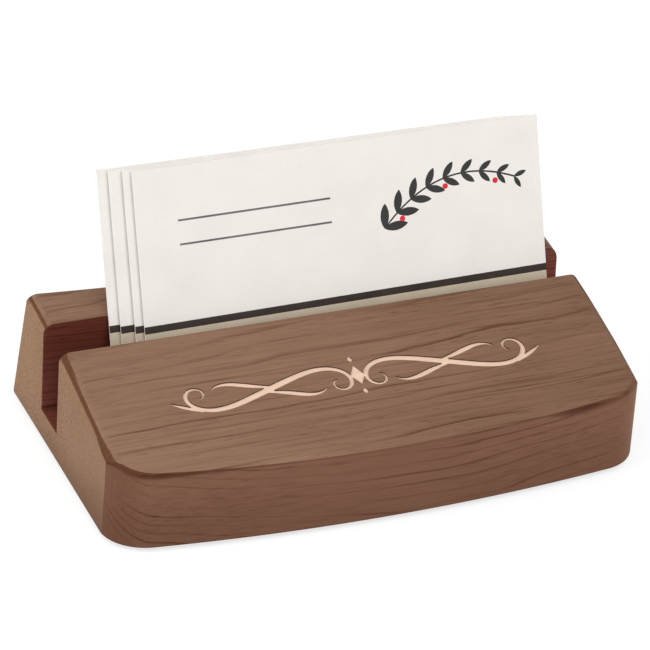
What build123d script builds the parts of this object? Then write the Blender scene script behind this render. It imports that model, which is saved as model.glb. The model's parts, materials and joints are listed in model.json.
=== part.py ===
from build123d import *
import os
from math import acos, atan2, cos, degrees, hypot, radians, sin, sqrt, tan

# A desk stand for business cards: one milled wood block with a through slot, four felt
# pads under it, and four cards that stand in the slot and lift out.
# Millimetres. +X runs along the slot, -Y is the bowed front, +Z is up.
# The origin is under the middle of the block, on the desk.

# Wood block
block_length = 114.3
block_depth = 68.6
front_height = 16.2
back_height = 27.3
top_arc_radius = 272.0
front_bow_radius = 376.0
back_bow_radius = 475.0
back_lean_angle = 15.0
end_lean_angle = 1.1
front_corner_radius = 10.0
corner_crease = 0.3
end_edge_radius = 2.0

# Card slot, sawn from end to end
slot_width = 9.8
slot_setback = 40.0
slot_floor_height = 6.6

# Felt pads
foot_diameter = 9.5
foot_thickness = 1.0
foot_inset = 12.0

# Cards, listed from the front
card_width = 88.9
card_height = 50.8
card_thickness = 0.3
card_gap = 0.1
card_fan_angle = 0.3
card_wall_clearance = 0.3
card_rim_clearance = 0.1
card_shift_shares = {
    "card_front": 0.090,
    "card_second": 0.070,
    "card_third": 0.0385,
    "card_rear": 0.014,
}

# How far a cutting shape runs past what it cuts
overrun = 5.0

# Places that follow from the sizes
half_length = block_length / 2
front_y = -block_depth / 2
back_y = block_depth / 2
base_z = foot_thickness
slot_front_y = front_y + slot_setback
slot_back_y = slot_front_y + slot_width
slot_floor_z = base_z + slot_floor_height

# The top arc passes through the front edge and the back edge
front_top = (front_y, base_z + front_height)
back_top = (back_y - back_height * tan(radians(back_lean_angle)), base_z + back_height)
chord = hypot(back_top[0] - front_top[0], back_top[1] - front_top[1])
chord_drop = sqrt(top_arc_radius**2 - (chord / 2) ** 2)
top_centre_y = (front_top[0] + back_top[0]) / 2 + chord_drop * (back_top[1] - front_top[1]) / chord
top_centre_z = (front_top[1] + back_top[1]) / 2 - chord_drop * (back_top[0] - front_top[0]) / chord


def top_z(y):
    return top_centre_z + sqrt(top_arc_radius**2 - (y - top_centre_y) ** 2)


def front_bow_y(x):
    return front_y + front_bow_radius - sqrt(front_bow_radius**2 - x**2)


def back_bow_y(x):
    at_end = sqrt(back_bow_radius**2 - half_length**2)
    return back_y + at_end - sqrt(back_bow_radius**2 - x**2)


def moulding():
    # The side profile, run along the slot: flat base and one arc for the whole top
    rear_y = back_y + overrun
    middle_y = (front_y + rear_y) / 2
    outline = Curve() + [
        Line((front_y, base_z), (rear_y, base_z)),
        Line((rear_y, base_z), (rear_y, top_z(rear_y))),
        ThreePointArc((rear_y, top_z(rear_y)), (middle_y, top_z(middle_y)), front_top),
        Line(front_top, (front_y, base_z)),
    ]
    profile = Plane.YZ * make_face(outline)
    return extrude(profile, amount=half_length + overrun, both=True)


def end_trim():
    # Both end faces lean in towards the top
    crown_z = base_z + back_height + overrun
    crown_half = half_length - (crown_z - base_z) * tan(radians(end_lean_angle))
    view = Polyline(
        (-half_length, base_z),
        (half_length, base_z),
        (crown_half, crown_z),
        (-crown_half, crown_z),
        close=True,
    )
    return extrude(Plane.XZ * make_face(view), amount=block_depth, both=True)


def plan_trim():
    # The bowed front with its rounded corners, seen from above. It is a little wider than
    # the block, so each corner meets its end face at a soft crease.
    rear_y = back_y + 2 * overrun
    corner_x = half_length + corner_crease
    corner_y = front_bow_y(corner_x)
    outline = Curve() + [
        Line((-corner_x, rear_y), (-corner_x, corner_y)),
        ThreePointArc((-corner_x, corner_y), (0, front_y), (corner_x, corner_y)),
        Line((corner_x, corner_y), (corner_x, rear_y)),
        Line((corner_x, rear_y), (-corner_x, rear_y)),
    ]
    plan = make_face(outline)
    plan = fillet(plan.vertices().group_by(Axis.Y)[0], front_corner_radius)
    return Pos(0, 0, base_z) * extrude(plan, amount=back_height + overrun)


def back_cutter():
    # A cone behind the block leaves the back leaning forward and hollow in plan
    growth = tan(radians(back_lean_angle))
    height = back_height + 2 * overrun
    foot_radius = back_bow_radius - overrun * growth
    axis_y = back_y + sqrt(back_bow_radius**2 - half_length**2)
    crown_radius = foot_radius + height * growth
    upright = (Align.CENTER, Align.CENTER, Align.MIN)
    cone = Cone(foot_radius, crown_radius, height, align=upright)
    return Pos(0, axis_y, base_z - overrun) * cone


def slot_cutter():
    length = block_length + 2 * overrun
    height = back_height + overrun
    front_foot = (Align.CENTER, Align.MIN, Align.MIN)
    cutter = Box(length, slot_width, height, align=front_foot)
    return Pos(0, slot_front_y, slot_floor_z) * cutter


def holder_block():
    body = moulding() & end_trim()
    top_edges = body.faces().sort_by(Axis.Z)[-1].edges().sort_by(Axis.X)
    body = fillet([top_edges[0], top_edges[-1]], end_edge_radius)
    body = body & plan_trim()
    body = body - back_cutter()
    return body - slot_cutter()


def feet():
    foot_x = half_length - foot_inset
    places = {
        "foot_front_left": (-foot_x, front_bow_y(foot_x) + foot_inset),
        "foot_front_right": (foot_x, front_bow_y(foot_x) + foot_inset),
        "foot_back_left": (-foot_x, back_bow_y(foot_x) - foot_inset),
        "foot_back_right": (foot_x, back_bow_y(foot_x) - foot_inset),
    }
    pad = Cylinder(foot_diameter / 2, foot_thickness, align=(Align.CENTER, Align.CENTER, Align.MIN))
    return {name: Pos(x, y, 0) * pad for name, (x, y) in places.items()}


def card_lean():
    # The stack stands at the slot's front wall and leans on the rim of its back wall
    behind = len(card_shift_shares) - 1
    stack = behind * (card_thickness + card_gap) + card_rim_clearance
    spread = card_width * sin(radians(behind * card_fan_angle))
    reach = slot_width - card_wall_clearance - card_thickness - spread
    rise = top_z(slot_back_y) - slot_floor_z
    return acos(stack / hypot(reach, rise)) - atan2(rise, reach)


def cards():
    # Each card is turned a little more than the one before it, so the stack opens to the left
    lean = card_lean()
    right_foot = (Align.MAX, Align.MAX, Align.MIN)
    blank = Box(card_width, card_thickness, card_height, align=right_foot)
    leaning = Rot(X=-degrees(lean)) * blank
    toe_y = slot_front_y + card_wall_clearance + card_thickness
    pitch = (card_thickness + card_gap) / cos(lean)
    shapes = {}
    for place, (name, share) in enumerate(card_shift_shares.items()):
        right_end_x = card_width / 2 + share * card_width
        stand = Pos(right_end_x, toe_y + place * pitch, slot_floor_z)
        shapes[name] = stand * Rot(Z=-place * card_fan_angle) * leaning
    return shapes


parts = {"holder_block": holder_block(), **feet(), **cards()}
os.makedirs("parts", exist_ok=True)
for node, shape in parts.items():
    export_step(shape, f"parts/{node}.step")

lean = card_lean()
print("card lean, degrees:", round(degrees(lean), 4))
for place, node in enumerate(card_shift_shares):
    turn = radians(place * card_fan_angle)
    sideways = sin(lean) * sin(turn)
    backward = sin(lean) * cos(turn)
    print(node, "lifts along:", round(sideways, 6), round(backward, 6), round(cos(lean), 6))
print("slot front, back, floor:", slot_front_y, slot_back_y, slot_floor_z)
print("rims over the slot:", round(top_z(slot_front_y), 3), round(top_z(slot_back_y), 3))
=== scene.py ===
import json
import math

import bmesh
import bpy
from mathutils import Euler, Matrix, Vector


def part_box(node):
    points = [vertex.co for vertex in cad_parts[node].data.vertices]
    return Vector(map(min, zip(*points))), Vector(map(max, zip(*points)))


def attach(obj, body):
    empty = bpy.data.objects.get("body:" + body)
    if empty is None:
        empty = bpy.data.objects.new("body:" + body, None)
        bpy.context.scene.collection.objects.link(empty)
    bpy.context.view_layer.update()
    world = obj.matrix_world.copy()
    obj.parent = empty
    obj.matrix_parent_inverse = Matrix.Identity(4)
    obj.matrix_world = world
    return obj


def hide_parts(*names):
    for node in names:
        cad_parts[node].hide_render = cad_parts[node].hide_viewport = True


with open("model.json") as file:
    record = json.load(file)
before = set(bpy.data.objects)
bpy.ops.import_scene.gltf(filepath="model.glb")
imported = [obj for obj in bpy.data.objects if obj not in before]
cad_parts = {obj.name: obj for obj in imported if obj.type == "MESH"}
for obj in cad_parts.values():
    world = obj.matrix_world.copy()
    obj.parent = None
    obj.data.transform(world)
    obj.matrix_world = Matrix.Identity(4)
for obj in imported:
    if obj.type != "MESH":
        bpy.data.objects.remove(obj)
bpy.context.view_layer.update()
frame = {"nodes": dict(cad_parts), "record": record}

mm = 0.001
scene = bpy.context.scene
print("frame loaded with", len(frame["nodes"]), "nodes")


# Helpers for node trees

def feed(tree, inputs, feeds):
    # links a node's inputs to what feeds them, or sets them to plain values
    for name, value in feeds.items():
        if isinstance(value, Number):
            value = value.socket
        if isinstance(value, bpy.types.NodeSocket):
            tree.links.new(value, inputs[name])
        else:
            inputs[name].default_value = value


def put(tree, kind, feeds=None, **settings):
    # adds a node and gives its outputs
    node = tree.nodes.new(kind)
    for name, value in settings.items():
        setattr(node, name, value)
    feed(tree, node.inputs, feeds or {})
    return node.outputs


def calc(operation, *values):
    tree = next(value.tree for value in values if isinstance(value, Number))
    return Number(tree, put(tree, "ShaderNodeMath", dict(enumerate(values)), operation=operation)[0])


class Number:
    # a number in a node tree: what is worked out with it becomes math nodes
    def __init__(self, tree, socket):
        self.tree = tree
        self.socket = socket

    def __add__(self, other):
        return calc("ADD", self, other)

    def __sub__(self, other):
        return calc("SUBTRACT", self, other)

    def __rsub__(self, other):
        return calc("SUBTRACT", other, self)

    def __mul__(self, other):
        return calc("MULTIPLY", self, other)

    def __truediv__(self, other):
        return calc("DIVIDE", self, other)

    def __rtruediv__(self, other):
        return calc("DIVIDE", other, self)

    def __pow__(self, other):
        return calc("POWER", self, other)

    def __neg__(self):
        return calc("MULTIPLY", self, -1.0)

    def __abs__(self):
        return calc("ABSOLUTE", self)

    def __lt__(self, other):
        return calc("LESS_THAN", self, other)

    def __gt__(self, other):
        return calc("GREATER_THAN", self, other)

    def ramp(self, low, high, toLow=0.0, toHigh=1.0, smooth=False):
        kind = "SMOOTHSTEP" if smooth else "LINEAR"
        feeds = {0: self, 1: low, 2: high, 3: toLow, 4: toHigh}
        return Number(self.tree, put(self.tree, "ShaderNodeMapRange", feeds, interpolation_type=kind)[0])


def larger(first, second):
    return calc("MAXIMUM", first, second)


def blendColour(factor, first, second, mode="MIX"):
    feeds = {0: factor, 6: first, 7: second}
    return put(factor.tree, "ShaderNodeMix", feeds, data_type="RGBA", blend_type=mode)[2]


def split(tree, vector):
    return [Number(tree, part) for part in put(tree, "ShaderNodeSeparateXYZ", {0: vector})]


def positionXyz(tree):
    return split(tree, put(tree, "GeometryNodeInputPosition")[0])


def normalXyz(tree):
    return split(tree, put(tree, "GeometryNodeInputNormal")[0])


def vector(tree, x, y, z):
    return put(tree, "ShaderNodeCombineXYZ", {0: x, 1: y, 2: z})[0]


def named(tree, sockets):
    return {socket.name: Number(tree, socket) for socket in sockets}


def newGroup(name, kind, inputs, outputs):
    # an input is named with its default number, or with what it takes in place of a number
    tree = bpy.data.node_groups.new(name, kind + "NodeTree")
    for label, value in inputs.items():
        takes = value if isinstance(value, str) else "Float"
        socket = tree.interface.new_socket(label, in_out="INPUT", socket_type="NodeSocket" + takes)
        if takes == "Float":
            socket.default_value = value
    gives = "NodeSocketGeometry" if kind == "Geometry" else "NodeSocketFloat"
    for label in outputs:
        tree.interface.new_socket(label, in_out="OUTPUT", socket_type=gives)
    sockets = tree.nodes.new("NodeGroupInput").outputs
    return tree, named(tree, sockets), tree.nodes.new("NodeGroupOutput").inputs


def newMaterial(name):
    material = bpy.data.materials.new(name)
    material.use_nodes = True
    tree = material.node_tree
    return material, tree, tree.nodes["Principled BSDF"].inputs


def useGroup(tree, group, feeds=None):
    return named(tree, put(tree, "ShaderNodeGroup", feeds, node_tree=group))


def placeInMm(tree):
    metres = put(tree, "ShaderNodeTexCoord")["Object"]
    return put(tree, "ShaderNodeVectorMath", {0: metres, "Scale": 1 / mm}, operation="SCALE")[0]


def noiseAt(tree, place, scale, detail, **feeds):
    feeds = {"Vector": place, "Scale": scale, "Detail": detail, **feeds}
    return Number(tree, put(tree, "ShaderNodeTexNoise", feeds)[0])


def bumpNormal(height, strength, depth):
    feeds = {"Height": height, "Strength": strength, "Distance": depth * mm}
    return put(height.tree, "ShaderNodeBump", feeds)[0]


# Helpers for shapes in Geometry Nodes

def joined(tree, *parts):
    node = tree.nodes.new("GeometryNodeJoinGeometry")
    for part in parts:
        feed(tree, node.inputs, {0: part})
    return node.outputs[0]


def realized(tree, shape):
    return put(tree, "GeometryNodeRealizeInstances", {0: shape})[0]


def moved(tree, shape, place=(0, 0, 0), turn=(0, 0, 0), scale=(1, 1, 1)):
    feeds = {"Geometry": shape, "Translation": place, "Rotation": turn, "Scale": scale}
    return put(tree, "GeometryNodeTransform", feeds)[0]


def reshaped(tree, shape, **feeds):
    return put(tree, "GeometryNodeSetPosition", {"Geometry": shape, **feeds})[0]


def stamped(tree, points, shape, **feeds):
    return put(tree, "GeometryNodeInstanceOnPoints", {"Points": points, "Instance": shape, **feeds})[0]


def painted(tree, shape, material, selection=True):
    feeds = {"Geometry": realized(tree, shape), "Selection": selection, "Material": material}
    return put(tree, "GeometryNodeSetMaterial", feeds)[0]


# Helpers for objects

def newObject(name, data):
    obj = bpy.data.objects.new(name, data)
    scene.collection.objects.link(obj)
    return obj


def plainMesh(obj):
    # what the modifiers make of an object, as a mesh of its own
    graph = bpy.context.evaluated_depsgraph_get()
    shown = obj.evaluated_get(graph)
    mesh = bpy.data.meshes.new_from_object(shown, preserve_all_data_layers=True, depsgraph=graph)
    bpy.data.objects.remove(obj)
    return mesh


def growMesh(name, tree, values, source=None):
    # runs a Geometry Nodes tree and gives its result as a plain mesh
    carrier = newObject(name, source or bpy.data.meshes.new(name))
    modifier = carrier.modifiers.new(name, "NODES")
    modifier.node_group = tree
    for item in tree.interface.items_tree:
        if item.in_out == "INPUT" and item.name in values:
            modifier[item.identifier] = values[item.name]
    mesh = plainMesh(carrier)
    mesh.name = name
    return mesh


# Helpers for measures

def mix(first, last, share):
    return first + (last - first) * share


def clamp(share):
    return max(0.0, min(1.0, share))


def smoothShare(low, high, value):
    share = clamp((value - low) / (high - low))
    return share * share * (3 - 2 * share)


def spread(first, last, count):
    return [first + (last - first) * i / count for i in range(1, count)]


# Wood finish: growth rings, fibres and pores as one solid figure, so that it runs on round every edge

woodFigure = {   # in mm
    "ringSpacing": 1.5, "waviness": 4.5, "shortWaveShare": 0.22,
    "pith": (48.0, -52.0), "ringDrift": 0.02,   # y and z of the tree's heart
    "lateWood": (0.66, 0.94), "lateCurve": 1.4, "weakestYear": 0.4, "weakestPatch": 0.2,
    "poreLength": 5.0, "poreWidth": 0.75, "poreEdge": (0.14, 0.3), "poreYear": (0.1, 0.9, 1.0, 0.3),
    "patchTone": (0.36, 0.64), "streakTone": (0.57, 0.74), "fibreRelief": 0.5,
    # length, width, detail and shift of each noise along the grain
    "noises": {
        "longWave": (75.0, 24.0, 2.0, 3.7), "shortWave": (19.0, 6.0, 2.0, 11.0),
        "patches": (40.0, 8.0, 1.0, 23.0), "mottle": (46.0, 19.0, 2.0, 57.0),
        "fibres": (15.0, 0.42, 3.0, 41.0), "streaks": (22.0, 0.36, 1.0, 83.0),
    },
    # where on the block a place lies: along what, from, to, value before, value after
    "masks": {
        # Low, Left, Along, Rear, Tip and Right also steer painted shade and light in the finishes
        "Low": ("rise", 0.0, 16.0, 1.0, 0.0), "Rear": ("y", -22.0, 10.0, 0.0, 1.0),
        "Left": ("x", -54.5, -49.5, 1.0, 0.0), "Along": ("x", -35.0, 35.0, 0.0, 1.0),
        "Right": ("x", 44.0, 54.0, 0.0, 1.0), "Tip": ("x", 50.0, 55.0, 0.0, 1.0),
        "Ends": ("reach", 54.0, 55.4, 1.0, 0.3),
    },
    "riseStart": -25.0, "riseSlope": 0.18,   # the low mask, painted shade near the floor, slants up towards the front
    # how deep in the slot, for the painted light there: z from, to, value before, value after, and its value
    # at the right end
    "slotFall": (9.0, 23.0, 1.0, 0.0), "slotFloor": (7.7, 8.6, 0.2, 1.0), "slotEnd": 0.65,
}


def stretchedNoise(tree, place, length, width, detail, shift):
    feeds = {"Vector": place, "Location": (shift, 0, 0), "Scale": (1 / length, 1 / width, 1 / width)}
    return noiseAt(tree, put(tree, "ShaderNodeMapping", feeds)[0], 1.0, detail)


def makeWoodFigure(figure):
    labels = ("Rings", "Streaks", "Fibres", "Pores", "Mottle", "Height", "Deep", *figure["masks"])
    inputs = {"Ring Spacing": figure["ringSpacing"], "Waviness": figure["waviness"]}
    tree, given, result = newGroup("woodFigure", "Shader", inputs, labels)
    place = placeInMm(tree)
    x, y, z = split(tree, place)
    noise = {name: stretchedNoise(tree, place, *facts) for name, facts in figure["noises"].items()}

    # Distance from the heart, made wavy along the board
    pithY, pithZ = figure["pith"]
    across, above = y - pithY, z - pithZ
    reach = calc("SQRT", across * across + above * above)
    wave = (noise["longWave"] - 0.5) + (noise["shortWave"] - 0.5) * figure["shortWaveShare"]
    ringCount = (reach + wave * given["Waviness"] + x * figure["ringDrift"]) / given["Ring Spacing"]
    age = calc("FRACT", ringCount)
    feeds = {"W": calc("FLOOR", ringCount)}
    year = Number(tree, put(tree, "ShaderNodeTexWhiteNoise", feeds, noise_dimensions="1D")[0])

    # Late wood darkens slowly and ends at a sharp line, stronger in some years than in others
    start, stop = figure["lateWood"]
    late = age.ramp(start, stop, smooth=True) ** figure["lateCurve"]
    ended = age.ramp(stop, 1.0, 1.0, 0.0, smooth=True)
    patchy = noise["patches"].ramp(*figure["patchTone"], figure["weakestPatch"], 1.0, smooth=True)
    rings = late * ended * (year.ramp(0.0, 1.0, figure["weakestYear"], 1.0) * patchy)

    width = figure["poreWidth"]
    feeds = {"Vector": place, "Scale": (1 / figure["poreLength"], 1 / width, 1 / width)}
    cells = put(tree, "ShaderNodeMapping", feeds)[0]
    spots = Number(tree, put(tree, "ShaderNodeTexVoronoi", {"Vector": cells, "Scale": 1.0})["Distance"])
    pores = spots.ramp(*figure["poreEdge"], 1.0, 0.0, smooth=True) * age.ramp(*figure["poreYear"])

    rise = z + (y - figure["riseStart"]) * figure["riseSlope"]
    axes = {"x": x, "y": y, "rise": rise, "reach": abs(x)}
    masks = {}
    for label, (axis, *facts) in figure["masks"].items():
        masks[label] = axes[axis].ramp(*facts, smooth=True)
    deep = z.ramp(*figure["slotFall"]) * z.ramp(*figure["slotFloor"])
    feed(tree, result, {
        "Rings": rings, "Pores": pores, "Fibres": noise["fibres"], "Mottle": noise["mottle"],
        "Streaks": noise["streaks"].ramp(*figure["streakTone"], smooth=True),
        "Height": noise["fibres"] * figure["fibreRelief"] - pores,
        "Deep": larger(deep, masks["Right"] * figure["slotEnd"]), **masks,
    })
    return tree


woodFigureGroup = makeWoodFigure(woodFigure)

plainWood = {   # linear colours, and how strongly each part of the figure shows
    # edge is the dark colour that edgeTone lays on eased edges, under the front edge and, as a painted dark
    # reflection, on the end round
    "edge": (0.100, 0.038, 0.018), "deep": (1, 1, 1), "tip": (1, 1, 1),
    "base": 0.15, "streaks": 0.5, "fibres": 0.13, "pores": 0.3, "mottle": 0.12,
    "low": 0.0, "left": 0.0, "along": 0.0, "right": 0.0, "rear": 0.0, "rearLift": 0.0, "ends": 0.0,
    "relief": 0.25, "reliefDepth": 0.06, "specular": 0.04, "glossSpread": (-0.05, 0.06),
    "poreDull": 0.15, "edgeDull": 0.25, "edgeFibres": (0.8, 1.0),
}
woodTones = {   # where each finish differs from plain wood
    "stainedWood": {
        # along and rearLift paint shade: the top turns darker towards the right end and towards the back
        "pale": (0.262, 0.152, 0.098), "dark": (0.104, 0.049, 0.026),
        "rings": 0.7, "gloss": 0.42, "along": 0.23, "rearLift": -0.09, "ends": 1.0,
    },
    "frontWood": {
        # painted shade and light on the front wall: left and low darken it at its left end and near the
        # floor, tip lightens its right end, along lightens it towards the right; its colours are darker and
        # redder than the top's, partly its own tone, partly painted shade
        "pale": (0.248, 0.122, 0.079), "dark": (0.094, 0.036, 0.019), "edge": (0.090, 0.032, 0.017),
        "tip": (1.14, 1.1, 1.02), "relief": 0.12, "gloss": 0.45,
        "rings": 0.8, "streaks": 0.3, "pores": 0.06, "low": 0.22, "left": 0.35, "along": -0.10, "right": 0.7,
    },
    "endWood": {
        # painted shade and light on the ends: low darkens them near the floor, rearLift lightens them
        # towards the back
        "pale": (0.337, 0.196, 0.111), "dark": (0.128, 0.059, 0.029),
        "base": 0.31, "rings": 0.22, "fibres": 0.36, "pores": 0.5, "gloss": 0.5,
        "low": 0.85, "rear": 0.75, "rearLift": 0.15,
    },
    "slotWood": {
        # painted shade: the slot's wood is darker and redder than the top's; deep is painted light that
        # lifts it low in the slot and at the right end
        "pale": (0.138, 0.036, 0.024), "dark": (0.062, 0.013, 0.007), "deep": (1.9, 2.4, 2.7),
        "rings": 0.9, "gloss": 0.6,
    },
}
carvedTones = {   # bare wood in the engraving: its colour, and how dark the grain is beside it
    "carvedFloor": ((0.78, 0.55, 0.41), 0.86),
    "carvedWall": ((0.075, 0.032, 0.018), 0.7),
}
carvedLook = {"ringShare": 0.5, "roughness": (0.7, 0.9), "relief": 0.4, "reliefDepth": 0.08}
noiseMiddle = (0.3, 0.7)   # where most of a noise lies
noiseReach = (0.2, 0.8)   # where nearly all of it lies


def makeWood(name, tone):
    material, tree, shader = newMaterial(name)
    figure = useGroup(tree, woodFigureGroup)
    pale, dark, edgeDarkColour, deep, tip = ((*tone[key], 1) for key in ("pale", "dark", "edge", "deep", "tip"))

    def fade(label, key, toLow, toHigh):
        # 1 where a part of the figure shows in full, less where it fades out
        return figure[label].ramp(0.0, 1.0, 1 - tone[key] * toLow, 1 - tone[key] * toHigh)

    def sway(label, key):
        return figure[label].ramp(*noiseMiddle, -tone[key], tone[key])

    lines = figure["Rings"] + figure["Streaks"] * tone["streaks"]
    lines = lines * (fade("Ends", "ends", 1, 0) * fade("Right", "right", 0, 1))
    grain = sway("Fibres", "fibres") * fade("Rear", "rear", 1, 0) + sway("Mottle", "mottle")
    depth = lines * tone["rings"] + figure["Pores"] * tone["pores"] + grain
    # Along and Rear shift the tone as painted shade and light, along the length and towards the back
    depth = depth + (figure["Along"] * tone["along"] + tone["base"]) - figure["Rear"] * tone["rearLift"]
    colour = blendColour(depth, pale, dark)
    # Low and Left paint shade: darker near the floor, and on the front wall towards its left end
    for label in ("Low", "Left"):
        colour = blendColour(figure[label] * tone[label.lower()], colour, dark)
    # Deep lifts the slot's wood and Tip the front wall's right end: painted light
    for label, tint in (("Deep", deep), ("Tip", tip)):
        colour = blendColour(figure[label], colour, tint, "MULTIPLY")
    # edgeTone darkens eased edges and under the front edge, and paints a dark reflection on the end round;
    # there the wood turns duller too
    edge = Number(tree, put(tree, "ShaderNodeAttribute", attribute_name="edgeTone")["Fac"])
    darkenedEdge = edge * figure["Fibres"].ramp(*noiseMiddle, *tone["edgeFibres"])
    rough = figure["Fibres"].ramp(*noiseReach, *(tone["gloss"] + part for part in tone["glossSpread"]))
    feed(tree, shader, {
        "Base Color": blendColour(darkenedEdge, colour, edgeDarkColour),
        "Roughness": rough + (figure["Pores"] * tone["poreDull"] + darkenedEdge * tone["edgeDull"]),
        "Specular IOR Level": tone["specular"],
        "Normal": bumpNormal(figure["Height"], tone["relief"], tone["reliefDepth"]),
    })
    return material


def makeCarvedWood(name, colour, shade):
    material, tree, shader = newMaterial(name)
    figure = useGroup(tree, woodFigureGroup)
    darker = tuple(part * shade for part in colour)
    tone = figure["Rings"] * carvedLook["ringShare"] + figure["Fibres"].ramp(*noiseMiddle)
    feed(tree, shader, {
        "Base Color": blendColour(tone, (*colour, 1), (*darker, 1)),
        "Roughness": figure["Fibres"].ramp(*noiseReach, *carvedLook["roughness"]),
        "Normal": bumpNormal(figure["Height"], carvedLook["relief"], carvedLook["reliefDepth"]),
    })
    return material


woodMaterials = [makeWood(name, {**plainWood, **tone}) for name, tone in woodTones.items()]
faceWood, frontWood, endWood, slotWood = range(len(woodMaterials))
carvedFloor, carvedWall = (makeCarvedWood(name, *facts) for name, facts in carvedTones.items())
print("wood finishes made")


# Wood block: one section per station along the slot, eased where the sander goes

blockLow, blockHigh = (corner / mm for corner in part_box("holder_block"))
woodBlock = {
    "frontHeight": 16.2, "backHeight": 27.3,
    "topArc": 272.0, "frontBow": 376.0, "backBow": 475.0,
    "backLean": 15.0, "endLean": 1.1,
    # the end round has its height at the corner, then its height and width at the slot and on the rail
    "leftCorner": {
        "radius": 10.0, "footRadius": 10.0, "ease": 1.3, "bandFade": 6.0,
        "endRound": 1.4, "slotRound": (2.0, 2.5), "railRound": (2.0, 2.5),
    },
    "rightCorner": {
        "radius": 8.0, "footRadius": 9.0, "ease": 1.9, "bandFade": 45.0,
        "endRound": 3.0, "slotRound": (1.6, 1.6), "railRound": (3.2, 2.6),
    },
    "cornerCrease": 0.3, "endRound": 2.0,
    "cornerBlend": (-5.0, 10.0), "slotBlend": -3.0,   # where the end round changes, past corner and slot
    "frontEase": 0.15, "edgeEase": 0.4, "slotEase": 0.2, "leastEase": 1e-4,
    "easeLead": 0.2, "steepestTurn": 1.5,
    "slotFront": 5.7, "slotBack": 15.5, "slotFloor": 7.6,
    "bowSteps": 18, "cornerSteps": 9, "roundSteps": 12, "arcSteps": 8, "easeSteps": 3,
    "wallRows": 4, "topRows": 22, "slotRows": 5, "floorRows": 4,
    "railRows": 8, "backRows": 5, "baseRows": 8, "backTries": 4,
    "browRows": (2.4, 2.0, 1.6, 1.3, 1.0, 0.75, 0.5, 0.3, 0.15),
    # how dark the eased edges and the back ridge turn, and where the darkening under the front edge fades
    "easeDarkening": 0.5, "ridgeDarkening": 0.7, "browFade": 0.35,
    # painted dark reflection in a band on the end round, in degrees of its turn, and how far the slot and
    # the corner change it
    "band": {
        "start": 32.0, "startAtSlot": 18.0, "startAtRail": 38.0, "startAtCorner": 18.0,
        "stop": 58.0, "stopAtCorner": 98.0, "fade": 6.0,
        "slotReach": 12.0, "cornerReach": 8.0, "cornerCurve": 2.2,
    },
    # darkening under the front edge: x, how far it reaches down from the top face, its strength
    "browDarkening": (
        (-57, 0.9, 0.95), (-55.5, 1.6, 1.0), (-54, 2.2, 1.0), (-52, 2.3, 1.0), (-50, 2.1, 1.0),
        (-46, 1.8, 1.0), (-42, 1.4, 0.95), (-38, 0.95, 0.85), (-33, 0.7, 0.7), (-20, 0.55, 0.5),
        (0, 0.5, 0.35), (28, 0.55, 0.35), (35, 0.65, 0.5), (37, 1.6, 0.9), (39, 2.3, 1.0),
        (45, 2.3, 1.0), (49, 2.1, 0.65), (53, 1.6, 0.4), (57, 0.9, 0.15),
    ),
    "endGrainStart": (1.0, 6.0),   # degrees past the band, and mm behind the corner
    # sharpest angles that still look smooth, in degrees, and where the foot of an end stops
    "smoothAngle": 40.0, "endAngle": 9.0, "footAngle": 25.0, "footTop": 7.0,
    "mergeDistance": 0.002,
}
halfLength = blockHigh.x
frontEdge = blockLow.y
backEdge = blockHigh.y
baseLevel = blockLow.z
slantEnd = math.tan(math.radians(woodBlock["endLean"]))
slantBack = math.tan(math.radians(woodBlock["backLean"]))

# The top arc runs through the front edge and the back edge
frontTop = Vector((frontEdge, baseLevel + woodBlock["frontHeight"]))
backTop = Vector((backEdge - woodBlock["backHeight"] * slantBack, baseLevel + woodBlock["backHeight"]))
chord = backTop - frontTop
sag = math.sqrt(woodBlock["topArc"] ** 2 - (chord.length / 2) ** 2)
arcCentre = (frontTop + backTop) / 2 + Vector((chord.y, -chord.x)).normalized() * sag

bowCentre = frontEdge + woodBlock["frontBow"]
hollowCentre = backEdge + math.sqrt(woodBlock["backBow"] ** 2 - halfLength ** 2)


class Corner:
    # the corner arc touches the front bow and runs a little past the end face
    def __init__(self, radius, footRadius, **sizes):
        self.radius = radius
        self.foot = Corner(footRadius, footRadius, **sizes) if footRadius != radius else self
        self.ease, self.bandFade, self.endRound = (sizes[key] for key in ("ease", "bandFade", "endRound"))
        self.slotRound, self.railRound = sizes["slotRound"], sizes["railRound"]
        self.x = halfLength + woodBlock["cornerCrease"] - radius
        reach = woodBlock["frontBow"] - radius
        self.y = bowCentre - math.sqrt(reach ** 2 - self.x ** 2)
        self.bowAngle = math.asin(self.x / reach)
        self.creaseY = self.y - math.sqrt(radius ** 2 - (halfLength - self.x) ** 2)

    def lastAngle(self, x):
        return math.asin((x - self.x) / self.radius)


def topZ(y):
    return arcCentre.y + math.sqrt(woodBlock["topArc"] ** 2 - (y - arcCentre.x) ** 2)


def topSlope(y):
    return -(y - arcCentre.x) / (topZ(y) - arcCentre.y)


def endX(z):
    return halfLength - (z - baseLevel) * slantEnd


def backY(x, z):
    return hollowCentre - math.sqrt((woodBlock["backBow"] + (z - baseLevel) * slantBack) ** 2 - x ** 2)


def ease(corner, first, second, radius, steps):
    # points of the arc that rounds a corner, from its first side to its second
    first, second = first.normalized(), second.normalized()
    half = first.angle(second) / 2
    centre = corner + (first + second).normalized() * (radius / math.sin(half))
    start = corner + first * (radius / math.tan(half)) - centre
    finish = corner + second * (radius / math.tan(half)) - centre
    turn = start.angle_signed(finish, 0.0)
    return [centre + Matrix.Rotation(-turn * i / steps, 2) @ start for i in range(steps + 1)]


def darkenedArc(arc, strength):
    # points of an eased edge, each after its darkening, which is strongest in the middle
    return [(strength * math.sin(math.pi * i / (len(arc) - 1)), *point) for i, point in enumerate(arc)]


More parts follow.
